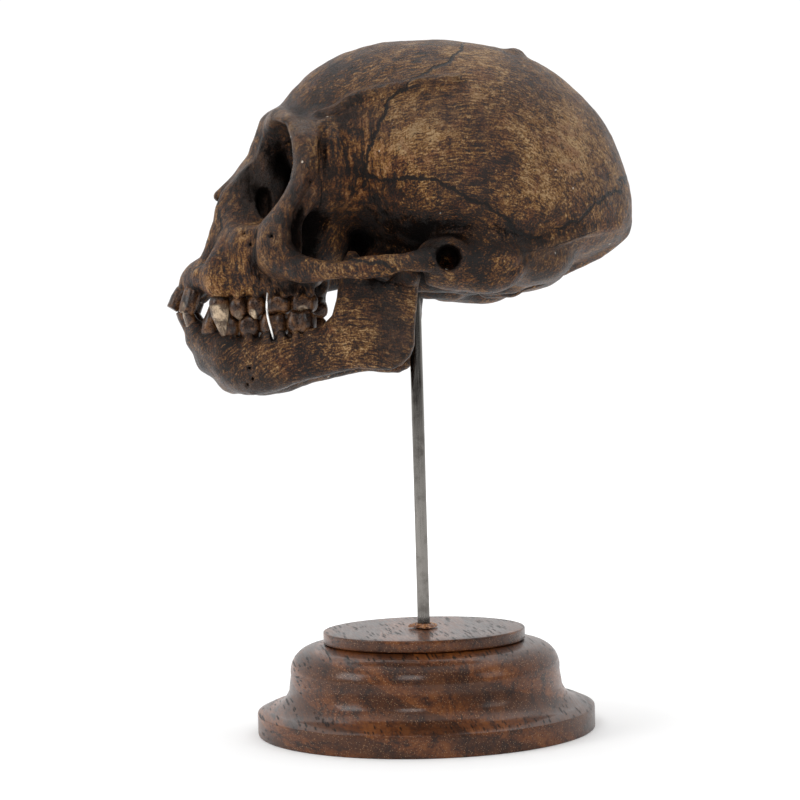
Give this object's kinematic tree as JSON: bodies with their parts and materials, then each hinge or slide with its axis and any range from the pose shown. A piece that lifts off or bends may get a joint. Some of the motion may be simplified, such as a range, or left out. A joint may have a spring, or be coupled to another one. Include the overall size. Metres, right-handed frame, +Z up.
{
  "type": "vervet monkey skull on a stand",
  "caption": "Stained monkey skull with wired jaw on a steel rod in a turned round wooden base.",
  "frame": {"origin": "centre of the base's flat underside", "axes": "+Z up along the rod, -Y the way the skull faces, +X the skull's left side"},
  "size_m": [0.07, 0.0962, 0.1426],
  "materials": {
    "bone": "satin",
    "enamel": "gloss",
    "wire": "polished",
    "steel": "satin",
    "glue": "matte",
    "wood": "satin"
  },
  "bodies": {
    "root": {"cranium": "bone", "mandible": "bone", "upper_incisor_1_left": "enamel", "upper_incisor_2_left": "enamel", "upper_canine_left": "enamel", "upper_premolar_1_left": "enamel", "upper_premolar_2_left": "enamel", "upper_molar_1_left": "enamel", "upper_molar_2_left": "enamel", "lower_incisor_1_left": "enamel", "lower_incisor_2_left": "enamel", "lower_canine_left": "enamel", "lower_premolar_1_left": "enamel", "lower_premolar_2_left": "enamel", "lower_molar_1_left": "enamel", "lower_molar_2_left": "enamel", "upper_incisor_1_right": "enamel", "upper_incisor_2_right": "enamel", "upper_canine_right": "enamel", "upper_premolar_1_right": "enamel", "upper_premolar_2_right": "enamel", "upper_molar_1_right": "enamel", "upper_molar_2_right": "enamel", "lower_incisor_1_right": "enamel", "lower_incisor_2_right": "enamel", "lower_canine_right": "enamel", "lower_premolar_1_right": "enamel", "lower_premolar_2_right": "enamel", "lower_molar_1_right": "enamel", "lower_molar_2_right": "enamel", "jaw_wire_left": "wire", "jaw_wire_right": "wire", "rod": "steel", "glue": "glue", "base": "wood"}
  },
  "joints": []
}
